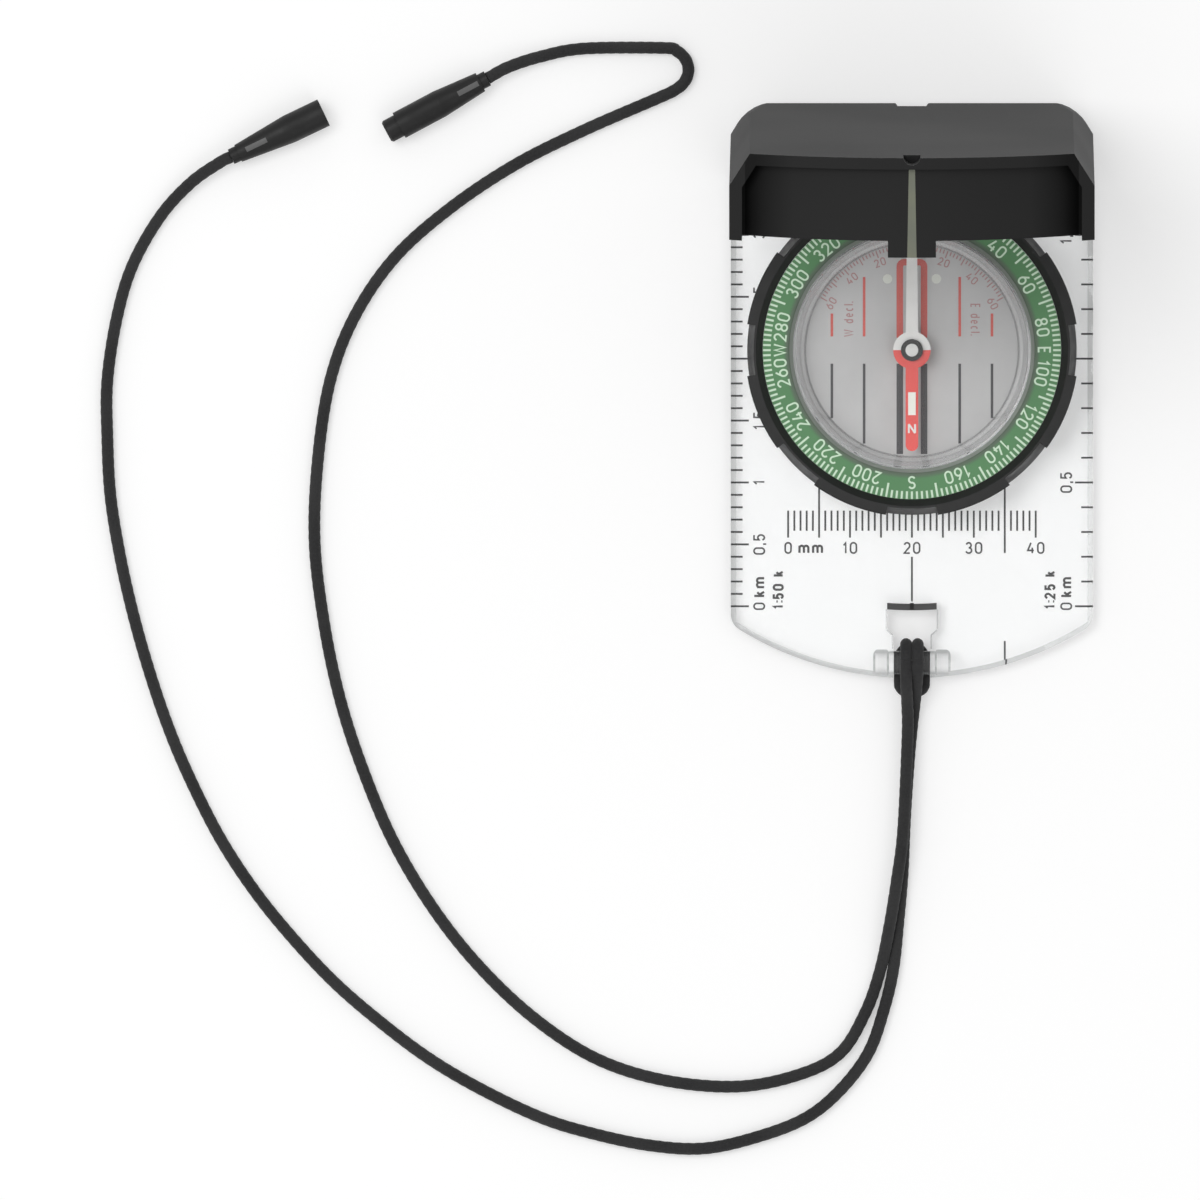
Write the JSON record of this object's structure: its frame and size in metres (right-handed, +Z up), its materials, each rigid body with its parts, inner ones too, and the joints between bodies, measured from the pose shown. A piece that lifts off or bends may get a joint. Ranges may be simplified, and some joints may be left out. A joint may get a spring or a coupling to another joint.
{
  "type": "baseplate compass",
  "caption": "Clear baseplate compass with a turning bezel capsule, a swinging needle, a deep hinged mirror cover with a sight line, and a corded lanyard with a breakaway connector.",
  "frame": {"origin": "on the capsule's turning axis at the underside of the baseplate", "axes": "+Z up out of the dial, +Y along the plate towards the cover's hinge, +X towards the plate's 1:25 000 edge; the lanyard eyelet is at -Y"},
  "size_m": [0.1603, 0.1796, 0.08],
  "materials": {
    "clear_acrylic": "polished",
    "grey_plastic": "matte",
    "steel": "satin",
    "washer_plastic": "matte",
    "black_plastic": "satin",
    "dial_green": "satin",
    "clear_vial": "polished",
    "printed_floor": "matte",
    "luminous": "matte",
    "brass": "satin",
    "needle_paint": "gloss",
    "jewel": "polished",
    "white_plastic": "gloss",
    "mirror": "polished",
    "cord": "woven"
  },
  "bodies": {
    "base": {"baseplate": "clear_acrylic", "catch_bar": "grey_plastic", "hinge_pins": "steel", "hinge_washers": "washer_plastic", "lanyard_hitch": "cord", "cord_outer": "cord", "cord_inner": "cord", "socket_body": "black_plastic", "socket_collar": "black_plastic", "socket_inset": "grey_plastic", "plug_body": "black_plastic", "plug_nose": "black_plastic", "plug_collar": "black_plastic", "plug_inset": "grey_plastic"},
    "capsule": {"bezel_ring": "black_plastic", "dial_ring": "dial_green", "vial_bowl": "clear_vial", "vial_floor": "printed_floor", "vial_lens": "clear_vial", "lume_dots": "luminous", "snap_ring": "black_plastic", "pivot_pin": "brass"},
    "needle": {"needle_blade": "needle_paint", "needle_hub": "black_plastic", "needle_jewel": "jewel", "needle_cap": "white_plastic", "needle_lume": "luminous"},
    "cover": {"cover_shell": "black_plastic", "cover_mirror": "mirror", "sight_line": "luminous"}
  },
  "joints": [
    {"name": "cover_hinge", "type": "hinge", "parent": "base", "child": "cover", "pos_m": [0, 0.02816, 0.0053], "axis": [-1, 0, 0], "range_deg": [-83, 22]},
    {"name": "bezel_turn", "type": "hinge", "parent": "base", "child": "capsule", "pos_m": [0, 0, 0], "axis": [0, 0, 1], "continuous": true},
    {"name": "needle_swing", "type": "hinge", "parent": "capsule", "child": "needle", "pos_m": [0, 0, 0], "axis": [0, 0, 1], "continuous": true}
  ]
}
